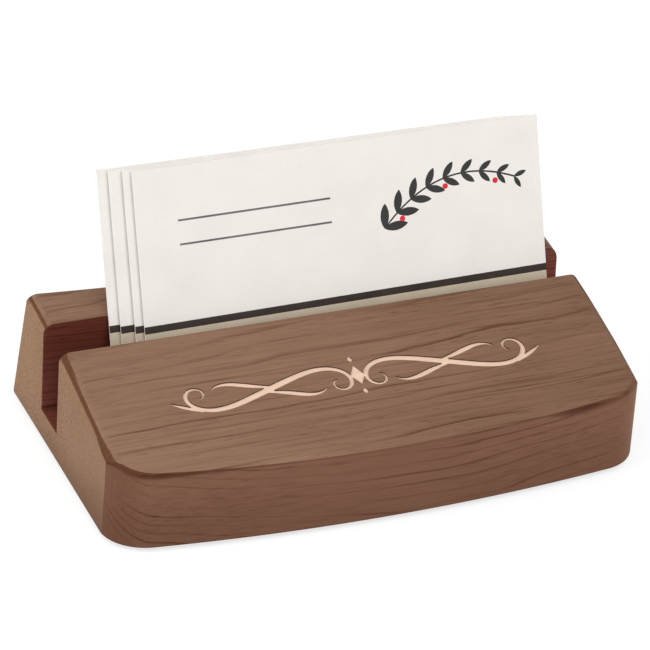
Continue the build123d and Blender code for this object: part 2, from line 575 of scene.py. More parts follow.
def stations(corner):
    # (share of the corner arc, turn of the end round) from the middle to the end
    bowSteps, cornerSteps = woodBlock["bowSteps"], woodBlock["cornerSteps"]
    roundSteps = woodBlock["roundSteps"]
    shares = [(i / bowSteps - 1, 0.0) for i in range(bowSteps + 1)]
    reach = endX(topZ(corner.y) - woodBlock["endRound"])

    def shareAt(x):
        return (corner.lastAngle(x) - corner.bowAngle) / (corner.lastAngle(reach) - corner.bowAngle)

    roundStart = shareAt(reach - woodBlock["endRound"])
    shares += [(roundStart * i / cornerSteps, 0.0) for i in range(1, cornerSteps)]
    for i in range(roundSteps + 1):
        turn = math.pi / 2 * i / roundSteps
        shares.append((shareAt(reach - woodBlock["endRound"] * (1 - math.sin(turn))), turn))
    return shares


def arcPoint(corner, share, z):
    # place and outward direction on the bow for shares below 0, then on the corner
    if share <= 0:
        angle = corner.bowAngle * (1 + share)
        centre, radius = Vector((0, bowCentre)), woodBlock["frontBow"]
    else:
        angle = corner.bowAngle + share * (corner.lastAngle(endX(z)) - corner.bowAngle)
        centre, radius = Vector((corner.x, corner.y)), corner.radius
    outward = Vector((math.sin(angle), -math.cos(angle)))
    return centre + outward * radius, outward


def wallPoint(corner, share, z):
    # the same on the front wall, whose corner may be rounder at its foot than on top
    high = clamp((z - baseLevel) / woodBlock["frontHeight"])
    ends = zip(arcPoint(corner.foot, share, z), arcPoint(corner, share, z))
    place, outward = (low.lerp(top, high) for low, top in ends)
    return place, outward.normalized()


def bandTone(corner, y, turn):
    # a painted dark reflection on the end round, in a band that widens at the slot and at the corner
    band = woodBlock["band"]
    atSlot = max(0.0, 1 - abs(y - woodBlock["slotFront"]) / band["slotReach"])
    atCorner = clamp(1 - (y - corner.creaseY) / band["cornerReach"]) ** band["cornerCurve"]
    start = mix(band["start"], band["startAtSlot"], atSlot)
    start -= (band["start"] - band["startAtCorner"]) * atCorner
    if y >= woodBlock["slotBack"]:
        start = band["startAtRail"]
    stop = mix(band["stop"], band["stopAtCorner"], atCorner)
    fade = mix(band["fade"], corner.bandFade, atCorner)
    angle = math.degrees(turn)
    return smoothShare(start, start + fade, angle) * smoothShare(stop + fade, stop, angle)


def browTone(x, below):
    # darkening at a place on the front wall, by its distance below the top face
    knots = woodBlock["browDarkening"]
    for (x0, *first), (x1, *last) in zip(knots, knots[1:]):
        if x <= x1:
            along = max(0.0, (x - x0) / (x1 - x0))
            reach, strength = (mix(a, b, along) for a, b in zip(first, last))
            break
    else:
        reach, strength = last
    return strength * smoothShare(reach, woodBlock["browFade"] * reach, below)


def roundAt(corner, y):
    # height and width of the end round, from the front corner to the slot
    plain = woodBlock["endRound"]
    before, after = (corner.y + part for part in woodBlock["cornerBlend"])
    slotHigh, slotWide = corner.slotRound
    nearSlot = smoothShare(after, woodBlock["slotFront"] + woodBlock["slotBlend"], y)
    high = mix(corner.endRound, plain, smoothShare(before, after, y))
    return high + (slotHigh - plain) * nearSlot, mix(plain, slotWide, nearSlot)


class Section:
    # one cut across the block, as (zone, darkening, point), from the front foot over the top to the base
    def __init__(self, corner, share, turn):
        self.corner, self.share, self.turn = corner, share, turn
        self.points = []
        self.inset = self.fall(woodBlock["slotEase"])
        self.lifted = baseLevel + self.fall(woodBlock["edgeEase"])
        self.addFront()
        self.addRail(self.addSlot(self.addTop()))
        self.addBase()

    def add(self, zone, tone, x, y, z):
        self.points.append((zone, tone, (x, y, z)))

    def fall(self, height):
        # how far the end round has come down here
        return height * (1 - math.cos(self.turn))

    def edgeX(self, z, radius):
        return endX(z) - radius * (1 - math.sin(self.turn))

    def slotX(self, z, top, endRound):
        # the end round at the top of a wall, and its small ease further down
        if not self.turn:
            return self.stationX
        tall, wide = endRound
        deep = clamp((top - z) / (2 * tall))
        high = self.edgeX(top + self.fall(tall) - tall, wide)
        return mix(high, self.edgeX(z, woodBlock["slotEase"]), deep)

    def band(self, y):
        return bandTone(self.corner, y, self.turn)

    def wall(self, z):
        return wallPoint(self.corner, self.share, z)

    def addFront(self):
        # foot, wall and top edge, all along the wall's own direction
        size, corner = woodBlock, self.corner
        lean = self.turn / (math.pi / 2)
        edgeY = self.wall(topZ(corner.y))[0].y
        high, _ = roundAt(corner, edgeY)
        level = topZ(edgeY) - self.fall(high)
        place, outward = self.wall(level)
        self.stationX = place.x
        aim = outward.lerp(Vector((0, -1)), lean).normalized()
        toe = Vector((0, self.lifted))
        foot = ease(toe, Vector((1, 0)), Vector((0, 1)), size["edgeEase"], size["easeSteps"])
        for tone, away, z in darkenedArc(foot, size["easeDarkening"]):
            spot = self.wall(z)[0] - aim * away
            self.add("foot", tone, spot.x if lean < 1 else endX(z), spot.y, z)

        nearing = max(0.0, (self.share + size["easeLead"]) / (1 + size["easeLead"]))
        radius = mix(size["frontEase"], corner.ease, nearing) * (1 - lean)
        rise = outward.x * math.tan(min(self.turn, size["steepestTurn"])) * high / size["endRound"]
        slope = Vector((1, rise - outward.y * topSlope(place.y)))
        radius = max(radius, size["leastEase"])
        arc = ease(Vector((0, level)), Vector((0, -1)), slope, radius, size["arcSteps"])
        reach = sum((b - a).length for a, b in zip(arc, arc[1:]))
        top = arc[0].y
        rows = spread(self.lifted + size["edgeEase"], top - size["browRows"][0], size["wallRows"])
        for z in rows + [top - below for below in size["browRows"]]:
            self.add("front", (reach + top - z, 0.0), *self.wall(z)[0], z)
        for i, (away, z) in enumerate(arc):
            spot = self.wall(z)[0] - outward * away
            self.add("brow", (reach * (1 - i / size["arcSteps"]), self.band(spot.y)), *spot, z)

    def addTop(self):
        # up to the slot's front rim, which is given back
        size, corner = woodBlock, self.corner
        slotY = size["slotFront"] - self.inset
        ridge = Vector((slotY, topZ(slotY) - self.fall(corner.slotRound[0])))
        slope = Vector((-1, -topSlope(slotY)))
        rim = ease(ridge, slope, Vector((0, -1)), size["slotEase"], size["easeSteps"])
        startX, startY, _ = self.points[-1][2]
        for along in spread(0.0, 1.0, size["topRows"]):
            y = mix(startY, rim[0].x, along)
            high, wide = roundAt(corner, y)
            x = self.edgeX(topZ(y) - high, wide) if self.turn else mix(startX, self.stationX, along)
            self.add("top", self.band(y), x, y, topZ(y) - self.fall(high))
        return rim

    def addRim(self, rim, top, endRound):
        for tone, y, z in darkenedArc(rim, woodBlock["easeDarkening"]):
            self.add("rim", max(tone, self.band(y)), self.slotX(z, top, endRound), y, z)

    def addSlot(self, rim):
        # down the front wall, over the floor and up to the rear rim, whose end is given back
        size = woodBlock
        slotRound, railRound = self.corner.slotRound, self.corner.railRound
        top = rim[0].y
        self.addRim(rim, top, slotRound)
        floor = size["slotFloor"] - self.inset
        for z in spread(rim[-1].y, floor, size["slotRows"]):
            self.add("slot", 0.0, self.slotX(z, top, slotRound), rim[-1].x, z)
        frontY, rearY = size["slotFront"] - self.inset, size["slotBack"] + self.inset
        for i in range(size["floorRows"] + 1):
            y = mix(frontY, rearY, i / size["floorRows"])
            self.add("slot", 0.0, self.slotX(floor, top, slotRound), y, floor)
        ridge = Vector((rearY, topZ(rearY) - self.fall(railRound[0])))
        slope = Vector((1, topSlope(rearY)))
        rearRim = ease(ridge, Vector((0, -1)), slope, size["slotEase"], size["easeSteps"])
        top = rearRim[-1].y
        for z in spread(floor, rearRim[0].y, size["slotRows"]):
            self.add("slot", 0.0, self.slotX(z, top, railRound), rearY, z)
        self.addRim(rearRim, top, railRound)
        return rearRim[-1]

    def addRail(self, rim):
        # the rail behind the slot, its back edge, the leaning back and its foot
        size, railRound = woodBlock, self.corner.railRound
        tall, wide = railRound
        x = self.slotX(rim.y, rim.y, railRound)
        level = topZ(backTop.x) - self.fall(tall)
        for _ in range(size["backTries"]):   # closes in on the place where the top meets the back
            endY = backY(x, level) - self.inset
            level = topZ(endY) - self.fall(tall)
        slope, down = Vector((-1, -topSlope(endY))), Vector((slantBack, -1))
        ridge = ease(Vector((endY, level)), slope, down, size["edgeEase"], size["arcSteps"])
        for y in spread(rim.x, ridge[0].x, size["railRows"]):
            x = self.edgeX(topZ(y) - tall, wide) if self.turn else self.stationX
            self.add("top", self.band(y), x, y, topZ(y) - self.fall(tall))
        top = ridge[0].y
        for i, (tone, y, z) in enumerate(darkenedArc(ridge, size["ridgeDarkening"])):
            tone = max(tone, self.band(y)) if i < size["arcSteps"] else 0.0
            self.add("ridge", tone, self.slotX(z, top, railRound), y, z)
        heelY = backY(self.stationX, self.lifted)
        heel = Vector((heelY - self.inset, self.lifted))
        foot = ease(heel, Vector((-slantBack, 1)), Vector((-1, 0)), size["edgeEase"], size["easeSteps"])
        for z in spread(ridge[-1].y, foot[0].y, size["backRows"]):
            x = self.slotX(z, top, railRound)
            self.add("back", 0.0, x, backY(x, z) - self.inset, z)
        for tone, y, z in darkenedArc(foot, size["easeDarkening"]):
            x = self.slotX(z, top, railRound)
            self.add("foot", tone, x, y - heelY + backY(x, self.lifted), z)

    def addBase(self):
        (firstX, firstY, _), (lastX, lastY, _) = self.points[0][2], self.points[-1][2]
        for along in spread(0.0, 1.0, woodBlock["baseRows"]):
            self.add("base", 0.0, mix(lastX, firstX, along), mix(lastY, firstY, along), self.lifted)


def halfBlock(corner, side):
    # (turn in degrees, points of the section) from the middle to one end
    rows = []
    for share, turn in stations(corner):
        points = Section(corner, share, turn).points
        sided = [(zone, tone, (side * x, y, z)) for zone, tone, (x, y, z) in points]
        rows.append((math.degrees(turn), sided))
    return rows


def woodFor(pair, place, turn, creaseY):
    # the finish of a face, by the zones that it lies between
    x, y, _ = place
    past, behind = woodBlock["endGrainStart"]
    if pair <= {"top", "rim"} and turn > woodBlock["band"]["stop"] + past and y > creaseY + behind:
        return endWood
    if "slot" in pair:
        return slotWood
    onTop = pair & {"top", "rim", "base"} or pair == {"brow"} and x > 0
    return faceWood if onTop else frontWood


def blockMesh():
    left, right = (Corner(**woodBlock[side]) for side in ("leftCorner", "rightCorner"))
    turns, sections = zip(*halfBlock(left, -1)[:0:-1], *halfBlock(right, 1))
    zones = [zone for zone, _, _ in sections[0]]
    shape = bmesh.new()
    toneLayer = shape.loops.layers.float.new("edgeTone")
    grid = [[shape.verts.new(Vector(point) * mm) for _, _, point in section] for section in sections]
    for row in range(len(grid) - 1):
        for i in range(len(zones)):
            j = (i + 1) % len(zones)
            corners = ((row, i), (row + 1, i), (row + 1, j), (row, j))
            face = shape.faces.new([grid[a][b] for a, b in corners])
            pair = {zones[i], zones[j]}
            face.material_index = woodFor(pair, sections[row][i][2], min(turns[row:row + 2]), left.creaseY)
            for loop, (a, b) in zip(face.loops, corners):
                zone, tone, (x, _, _) = sections[a][b]
                if zone in ("front", "brow"):
                    below, banded = tone
                    tone = banded if "top" in pair else max(browTone(x, below), banded)
                loop[toneLayer] = tone
    for ring in (grid[0], grid[-1][::-1]):
        shape.faces.new(ring).material_index = endWood
    bmesh.ops.remove_doubles(shape, verts=shape.verts, dist=woodBlock["mergeDistance"] * mm)
    bmesh.ops.recalc_face_normals(shape, faces=shape.faces)
    mesh = bpy.data.meshes.new("cardBlock")
    shape.to_mesh(mesh)
    shape.free()
    for material in woodMaterials:
        mesh.materials.append(material)
    return mesh


# Engraved scroll on the top, cut by grooves that follow its strokes

scrollWork = {
    "centreY": -14.0, "depth": 0.3, "lift": 0.5, "floorShare": 0.88, "steepness": 0.7, "floorTilt": -0.7,
    "steps": 60, "tipShare": 0.25,
    # middle x, middle y, heading, length, bend at the start, bend at the end, growth of the bend, width
    "strokes": {
        "scroll": (19.0, 0.0, -20, 56.0, -0.78, 0.78, 2.6, 1.7),
        "leafUp": (24.0, 2.3, 20, 14.0, 0.10, -0.36, 1.2, 1.35),
        "leafDown": (14.0, -2.3, 200, 14.0, 0.10, -0.36, 1.2, 1.35),
        "outer": (36.9, -1.6, 30, 7.0, 0.0, 0.16, 2.0, 1.05),
    },
    # middle y, half length, width
    "lozenges": ((0.0, 2.6, 3.2), (4.6, 0.75, 1.4), (-4.6, 0.75, 1.4)),
    "lozengeTip": 0.1,
}


def strokePath(stroke):
    # a line that is straight in its middle and curls up towards both ends
    x0, y0, heading, length, first, last, growth, width = stroke
    steps = scrollWork["steps"]
    half = steps // 2
    step = length / steps
    path = {}
    for sign in (1, -1):
        x, y, angle = x0, y0, math.radians(heading)
        for i in range(half + 1):
            share = 0.5 + sign * i / steps
            wide = width * mix(scrollWork["tipShare"], 1, math.sin(math.pi * share))
            path[half + sign * i] = (x, y, wide)
            ahead = share + sign * 0.5 / steps
            bend = first * max(0.0, 1 - 2 * ahead) ** growth + last * max(0.0, 2 * ahead - 1) ** growth
            angle += sign * bend * step
            x += sign * math.cos(angle) * step
            y += sign * math.sin(angle) * step
    return [path[i] for i in range(steps + 1)]


def strokeLines():
    # every stroke as a chain of edges, with its width on each point
    paths = []
    for stroke in scrollWork["strokes"].values():
        path = strokePath(stroke)
        paths += [path, [(-x, y, wide) for x, y, wide in path]]
    tip = scrollWork["lozengeTip"]
    for middle, half, wide in scrollWork["lozenges"]:
        paths.append([(0, middle - half, tip), (0, middle, wide), (0, middle + half, tip)])
    places, edges, widths = [], [], []
    for path in paths:
        edges += [(len(places) + i, len(places) + i + 1) for i in range(len(path) - 1)]
        places += [(x * mm, (y + scrollWork["centreY"]) * mm, 0) for x, y, _ in path]
        widths += [wide * mm for _, _, wide in path]
    mesh = bpy.data.meshes.new("scrollLines")
    mesh.from_pydata(places, edges, [])
    mesh.attributes.new("strokeWidth", "FLOAT", "POINT").data.foreach_set("value", widths)
    return mesh


def makeGrooveTree():
    sizes = ("Depth", "Lift", "Floor Share", "Steepness", "Arc Radius", "Arc Y", "Arc Z")
    inputs = {"Lines": "Geometry", **dict.fromkeys(sizes, 0.0)}
    tree, given, result = newGroup("grooveCutter", "Geometry", inputs, ["Cutter"])
    curve = put(tree, "GeometryNodeMeshToCurve", {"Mesh": given["Lines"]})[0]
    curve = put(tree, "GeometryNodeSetCurveNormal", {"Curve": curve}, mode="Z_UP")[0]
    wide = put(tree, "GeometryNodeInputNamedAttribute", {"Name": "strokeWidth"}, data_type="FLOAT")[0]
    profile = put(tree, "GeometryNodeCurvePrimitiveQuadrilateral", {
        "Height": 1.0, "Top Width": 1.0, "Bottom Width": given["Floor Share"], "Offset": 0.0,
    }, mode="TRAPEZOID")[0]
    feeds = {"Curve": curve, "Profile Curve": profile, "Scale": wide, "Fill Caps": True}
    swept = put(tree, "GeometryNodeCurveToMesh", feeds)[0]

    # The flat sweep gets its depth, then is laid on the arch of the top
    x, y, z = positionXyz(tree)
    sunk = larger(z * 2.0 * given["Steepness"], -given["Depth"])
    isTop = z > 0.0
    height = isTop * given["Lift"] + (1.0 - isTop) * sunk
    off = y - given["Arc Y"]
    arch = calc("SQRT", given["Arc Radius"] * given["Arc Radius"] - off * off) + given["Arc Z"]
    laid = reshaped(tree, swept, Position=vector(tree, x, y, arch + height))
    feeds = {"Mesh 2": laid, "Self Intersection": True}
    cutter = put(tree, "GeometryNodeMeshBoolean", feeds, operation="UNION", solver="EXACT")[0]
    walls = painted(tree, cutter, carvedWall)
    isFloor = normalXyz(tree)[2] < scrollWork["floorTilt"]
    feed(tree, result, {"Cutter": painted(tree, walls, carvedFloor, isFloor)})
    return tree


def engrave(mesh):
    cutter = newObject("scrollCutter", growMesh("scrollCutter", makeGrooveTree(), {
        "Depth": scrollWork["depth"] * mm, "Lift": scrollWork["lift"] * mm,
        "Floor Share": scrollWork["floorShare"], "Steepness": scrollWork["steepness"],
        "Arc Radius": woodBlock["topArc"] * mm, "Arc Y": arcCentre.x * mm, "Arc Z": arcCentre.y * mm,
    }, strokeLines()))
    body = newObject("engravedBlock", mesh)
    cut = body.modifiers.new("engrave", "BOOLEAN")
    cut.operation, cut.solver, cut.material_mode, cut.object = "DIFFERENCE", "EXACT", "TRANSFER", cutter
    carved = plainMesh(body)
    bpy.data.objects.remove(cutter)
    return carved


def softenNormals(mesh):
    # crisp at the corner crease and the engraving, smooth over the rest
    shape = bmesh.new()
    shape.from_mesh(mesh)
    for edge in shape.edges:
        edge.smooth = True
        if len(edge.link_faces) == 2:
            kinds = {face.material_index for face in edge.link_faces}
            limit = woodBlock["smoothAngle"]
            if endWood in kinds and len(kinds) > 1:
                isHigh = edge.verts[0].co.z > woodBlock["footTop"] * mm
                limit = woodBlock["endAngle"] if isHigh else woodBlock["footAngle"]
            if max(kinds) > slotWood and min(kinds) <= slotWood:
                limit = 0.0
            edge.smooth = math.degrees(edge.calc_face_angle()) <= limit
    for face in shape.faces:
        face.smooth = True
    shape.to_mesh(mesh)
    shape.free()
    carrier = newObject("softened", mesh)
    weigh = carrier.modifiers.new("weigh", "WEIGHTED_NORMAL")
    weigh.keep_sharp = True
    return plainMesh(carrier)


block = newObject("card_block", softenNormals(engrave(blockMesh())))
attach(block, "holder")
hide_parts("holder_block")
print("block made:", len(block.data.polygons), "faces")


# Cards: one printed blank, stood four times in the slot

cardDesign = {
    "stripeDrop": 31.97, "stripeHeight": 1.5, "stripeTilt": 0.4, "tiltMargin": 1.0, "mergeDistance": 0.002,
    "inkRise": 0.03, "inkSink": 0.02,
    "edgeFacing": 0.1, "frontFacing": -0.9,   # how far a face looks along Y
    # leafy sprig, from the middle of the card's foot, in mm
    "sprigStart": (9.0, 31.5), "sprigBend": (22.0, 45.5), "sprigEnd": (38.5, 38.5),
    "stemWidth": 0.42, "stemFlatness": 0.2, "stemSteps": 24, "stemSides": 6,
    "leafPairs": 9, "leafLength": 5.2, "leafWidth": 1.9, "leafAngle": 40.0,
    "leafTaper": 0.45, "leafPinch": 0.35, "discSides": 16,
    "berryRadius": 0.6, "berryReach": 1.7, "berryEvery": 3, "berryFirst": 1, "berryMargin": 0.1,
    # ruled lines
    "ruleLength": 33.0, "ruleWidth": 0.4, "rulePlace": (-19.0, 39.5), "ruleStep": 5.0, "ruleCount": 2,
}
cardInks = {   # linear colour, how much the paper's tooth shows through, roughness
    "cardPaper": ((0.862, 0.832, 0.788), 0.03, 0.6),
    "cardEdge": ((0.84, 0.81, 0.76), 0.05, 0.7),
    "cardStripe": ((0.032, 0.022, 0.018), 0.25, 0.45),
    "cardBand": ((0.61, 0.525, 0.40), 0.06, 0.55),
    "sprigInk": ((0.022, 0.022, 0.021), 0.3, 0.4),
    "berryInk": ((0.72, 0.018, 0.026), 0.12, 0.4),
    "ruleInk": ((0.13, 0.13, 0.13), 0.3, 0.45),
}
paperLook = {
    "fibreSize": 0.5, "cloudScale": 0.12, "cloudDetail": 3.0, "toothDetail": 4.0, "toothRoughness": 0.7,
    "cloudShare": 0.6, "toneRange": (0.35, 0.65), "paleLift": 0.02, "glossSpread": (-0.06, 0.08),
    "specular": 0.25, "relief": 0.12, "reliefDepth": 0.02,
}
upright = (math.pi / 2, 0, 0)   # a sheet in X and Y stands up and faces the front


def makePaperGrain(look):
    inputs = {"Fibre Size": look["fibreSize"]}
    tree, given, result = newGroup("paperGrain", "Shader", inputs, ["Cloud", "Tooth"])
    place = placeInMm(tree)
    fine = 1.0 / given["Fibre Size"]
    feed(tree, result, {
        "Cloud": noiseAt(tree, place, look["cloudScale"], look["cloudDetail"]),
        "Tooth": noiseAt(tree, place, fine, look["toothDetail"], Roughness=look["toothRoughness"]),
    })
    return tree


def grainTone(grain, cloudShare):
    return grain["Cloud"] * cloudShare + grain["Tooth"] * (1 - cloudShare)


paperGrainGroup = makePaperGrain(paperLook)


def makeInk(name, colour, tooth, gloss):
    material, tree, shader = newMaterial(name)
    look = paperLook
    grain = useGroup(tree, paperGrainGroup)
    paler = tuple(min(1.0, part * (1 + tooth) + look["paleLift"] * tooth) for part in colour)
    darker = tuple(part * (1 - tooth) for part in colour)
    tone = grainTone(grain, look["cloudShare"]).ramp(*look["toneRange"])
    feed(tree, shader, {
        "Base Color": blendColour(tone, (*darker, 1), (*paler, 1)),
        "Roughness": grain["Tooth"].ramp(*noiseMiddle, *(gloss + part for part in look["glossSpread"])),
        "Specular IOR Level": look["specular"],
        "Normal": bumpNormal(grain["Tooth"], look["relief"], look["reliefDepth"]),
    })
    return material


ink = {name: makeInk(name, *facts) for name, facts in cardInks.items()}


def merged(tree, shape):
    feeds = {"Geometry": shape, "Distance": cardDesign["mergeDistance"] * mm}
    return put(tree, "GeometryNodeMergeByDistance", feeds)[0]


def makeThickenTree():
    # a flat sheet becomes a closed slab, grown to the side that it faces
    inputs = {"Sheet": "Geometry", "Thickness": 0.0}
    tree, given, result = newGroup("thickenSheet", "Geometry", inputs, ["Slab"])
    feeds = {"Mesh": given["Sheet"], "Offset Scale": given["Thickness"], "Individual": False}
    grown = put(tree, "GeometryNodeExtrudeMesh", feeds)[0]
    behind = put(tree, "GeometryNodeFlipFaces", {"Mesh": given["Sheet"]})[0]
    feed(tree, result, {"Slab": merged(tree, joined(tree, grown, behind))})
    return tree


thickenTree = makeThickenTree()


def thickened(tree, sheet, thickness):
    feeds = {"Sheet": sheet, "Thickness": thickness}
    return put(tree, "GeometryNodeGroup", feeds, node_tree=thickenTree)[0]


def flatSheet(tree, width, height):
    feeds = {"Size X": width, "Size Y": height, "Vertices X": 2, "Vertices Y": 2}
    return put(tree, "GeometryNodeMeshGrid", feeds)[0]


def cardBlank(tree, given, design):
    # in three strips, so that the stripe and the band have their own edges
    stripeTop = given["Height"] - given["Stripe Drop"]
    stripeFoot = stripeTop - given["Stripe Height"]
    levels = (0.0, stripeFoot, stripeTop, given["Height"])
    strips = []
    for foot, head in zip(levels, levels[1:]):
        strip = flatSheet(tree, given["Width"], head - foot)
        strips.append(moved(tree, strip, vector(tree, 0.0, 0.0, (head + foot) * 0.5), upright))
    face = merged(tree, joined(tree, *strips))
    x, _, z = positionXyz(tree)
    margin = design["tiltMargin"] * mm
    inside = (z > margin) * (z < given["Height"] - margin)
    raised = x * math.tan(math.radians(design["stripeTilt"])) * inside
    face = reshaped(tree, face, Offset=vector(tree, 0.0, 0.0, raised))
    blank = painted(tree, thickened(tree, face, given["Thickness"]), ink["cardPaper"])
    _, facing, _ = normalXyz(tree)
    _, _, height = positionXyz(tree)
    blank = painted(tree, blank, ink["cardEdge"], abs(facing) < design["edgeFacing"])
    isFront = facing < design["frontFacing"]
    for limit, name in ((stripeTop, "cardStripe"), (stripeFoot, "cardBand")):
        blank = painted(tree, blank, ink[name], isFront * (height < limit))
    return blank


def cardSprig(tree, design, inkDepth):
    # a bent stem with leaves in pairs and a few berries
    ends = {}
    for label, key in (("Start", "sprigStart"), ("Middle", "sprigBend"), ("End", "sprigEnd")):
        ends[label] = (design[key][0] * mm, 0, design[key][1] * mm)
    stem = put(tree, "GeometryNodeCurveQuadraticBezier", {"Resolution": design["stemSteps"], **ends})[0]
    feeds = {"Resolution": design["stemSides"], "Radius": design["stemWidth"] / 2 * mm}
    rod = put(tree, "GeometryNodeCurvePrimitiveCircle", feeds)[0]
    feeds = {"Curve": stem, "Profile Curve": rod, "Fill Caps": True}
    stalk = put(tree, "GeometryNodeCurveToMesh", feeds)[0]
    sprig = [moved(tree, stalk, scale=(1, design["stemFlatness"], 1))]

    feeds = {"Vertices": design["discSides"], "Radius": 1.0}
    disc = put(tree, "GeometryNodeMeshCircle", feeds, fill_type="NGON")[0]
    x, y, _ = positionXyz(tree)
    pinch = larger(1.0 - x * x, 0.0) ** design["leafPinch"]
    long = (x + 1.0) * (design["leafLength"] / 2 * mm)
    wide = y * pinch * (design["leafWidth"] / 2 * mm)
    leaf = reshaped(tree, disc, Position=vector(tree, long, wide, 0.0))
    leaf = thickened(tree, moved(tree, leaf, turn=upright), inkDepth)

    feeds = {"Curve": stem, "Count": design["leafPairs"]}
    nodes = put(tree, "GeometryNodeCurveToPoints", feeds, mode="COUNT")
    forward, _, upward = split(tree, nodes["Tangent"])
    heading = calc("ARCTAN2", upward, forward)
    index = Number(tree, put(tree, "GeometryNodeInputIndex")[0])
    size = 1.0 - index / (design["leafPairs"] - 1.0) * design["leafTaper"]
    for side in (1, -1):
        angle = heading + side * math.radians(design["leafAngle"])
        turn = vector(tree, 0.0, -angle, 0.0)
        sprig.append(stamped(tree, nodes["Points"], leaf, Scale=size, Rotation=turn))

    radius, reach = design["berryRadius"] * mm, design["berryReach"] * mm
    berry = thickened(tree, moved(tree, disc, turn=upright, scale=(radius, radius, radius)), inkDepth)
    aside = vector(tree, upward * reach, 0.0, forward * -reach)
    spots = reshaped(tree, nodes["Points"], Offset=aside)
    place = calc("MODULO", index, design["berryEvery"])
    chosen = calc("COMPARE", place, design["berryFirst"], design["berryMargin"])
    berries = stamped(tree, spots, berry, Selection=chosen)
    return painted(tree, joined(tree, *sprig), ink["sprigInk"]), painted(tree, berries, ink["berryInk"])


def cardRules(tree, design, inkDepth):
    # ruled lines to write on
    x, z = design["rulePlace"]
    line = flatSheet(tree, design["ruleLength"] * mm, design["ruleWidth"] * mm)
    rows = put(tree, "GeometryNodeMeshLine", {
        "Count": design["ruleCount"], "Start Location": (x * mm, 0, z * mm),
        "Offset": (0, 0, -design["ruleStep"] * mm),
    })[0]
    rule = thickened(tree, moved(tree, line, turn=upright), inkDepth)
    return painted(tree, stamped(tree, rows, rule), ink["ruleInk"])


def makeCardTree(design):
    sizes = ("Width", "Height", "Thickness", "Stripe Drop", "Stripe Height")
    inputs = {**dict.fromkeys(sizes, 0.0), "Place": "Vector", "Turn": "Vector"}
    tree, given, result = newGroup("printedCard", "Geometry", inputs, ["Card"])

    # Inks stand a little proud of the paper, and reach a little into it
    inkDepth = (design["inkRise"] + design["inkSink"]) * mm
    inkPlane = vector(tree, 0.0, design["inkSink"] * mm - given["Thickness"], 0.0)
    prints = joined(tree, *cardSprig(tree, design, inkDepth), cardRules(tree, design, inkDepth))
    dressed = joined(tree, cardBlank(tree, given, design), moved(tree, prints, inkPlane))
    feed(tree, result, {"Card": moved(tree, dressed, given["Place"], given["Turn"])})
    return tree


def standCards():
    tree = makeCardTree(cardDesign)
    names = []
    for joint in frame["record"]["behaviour"]["joints"]:
        name = joint["child"]
        # The card lifts along its own face, which gives its lean and its turn
        sideways, backward, upward = joint["axis"]
        lean = math.atan2(math.hypot(sideways, backward), upward)
        turn = Euler((-lean, 0, -math.atan2(sideways, backward)))
        turned = turn.to_matrix()
        low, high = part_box(name)
        reach = Matrix([[abs(part) for part in row] for row in turned])
        width, thickness, height = reach.inverted() @ (high - low)
        mesh = growMesh(name + "_printed", tree, {
            "Width": width, "Height": height, "Thickness": thickness, "Turn": turn,
            "Stripe Drop": cardDesign["stripeDrop"] * mm, "Stripe Height": cardDesign["stripeHeight"] * mm,
            "Place": (low + high) / 2 - turned @ Vector((0, -thickness / 2, height / 2)),
        })
        card = newObject(name + "_printed", mesh)
        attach(card, name)
        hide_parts(name)
        names.append(name)
    return names


print("cards made:", ", ".join(standCards()))


# Felt pads under the block

feltPad = {
    "rimRound": 0.3, "unevenness": 0.05, "rippleScale": 900.0, "rippleDetail": 2.0,
    "sides": 40, "rows": 6, "rings": 5, "sideFacing": 0.7,
    # density in fibres on a square mm, bend and spin in radians
    "fuzzLength": 0.45, "fuzzWidth": 0.03, "fuzzSides": 3, "fuzzDensity": 6.0,
    "fuzzBend": 1.1, "fuzzSpin": 6.3, "seed": 7,
    "dark": (0.012, 0.008, 0.006), "pale": (0.045, 0.03, 0.022), "fibreSize": 0.18, "cloudShare": 0.4,
    "roughness": (0.85, 1.0), "sheen": 0.3, "relief": 0.6, "reliefDepth": 0.1,
}


def makeFelt(pad):
    material, tree, shader = newMaterial("pressedFelt")
    grain = useGroup(tree, paperGrainGroup, {"Fibre Size": pad["fibreSize"]})
    tone = grainTone(grain, pad["cloudShare"]).ramp(*noiseMiddle)
    feed(tree, shader, {
        "Base Color": blendColour(tone, (*pad["dark"], 1), (*pad["pale"], 1)),
        "Roughness": grain["Tooth"].ramp(*noiseReach, *pad["roughness"]),
        "Sheen Weight": pad["sheen"],
        "Normal": bumpNormal(grain["Tooth"], pad["relief"], pad["reliefDepth"]),
    })
    return material


def padBody(tree, given, pad):
    # the cut side bulges: points are drawn in towards the top and the bottom
    puck = put(tree, "GeometryNodeMeshCylinder", {
        "Vertices": pad["sides"], "Side Segments": pad["rows"], "Fill Segments": pad["rings"],
        "Radius": given["Radius"], "Depth": given["Thickness"],
    })[0]
    place = put(tree, "GeometryNodeInputPosition")[0]
    x, y, z = split(tree, place)
    level = z * 2.0 / given["Thickness"]
    bulge = calc("SQRT", larger(1.0 - level * level, 0.0))
    pulled = (1.0 - bulge) * (given["Rim Round"] / given["Radius"])
    ripple = noiseAt(tree, place, pad["rippleScale"], pad["rippleDetail"])
    scale = 1.0 - pulled - ripple * (given["Unevenness"] / given["Radius"])
    body = reshaped(tree, puck, Position=vector(tree, x * scale, y * scale, z))
    return put(tree, "GeometryNodeSetShadeSmooth", {0: body, "Shade Smooth": True})[0]


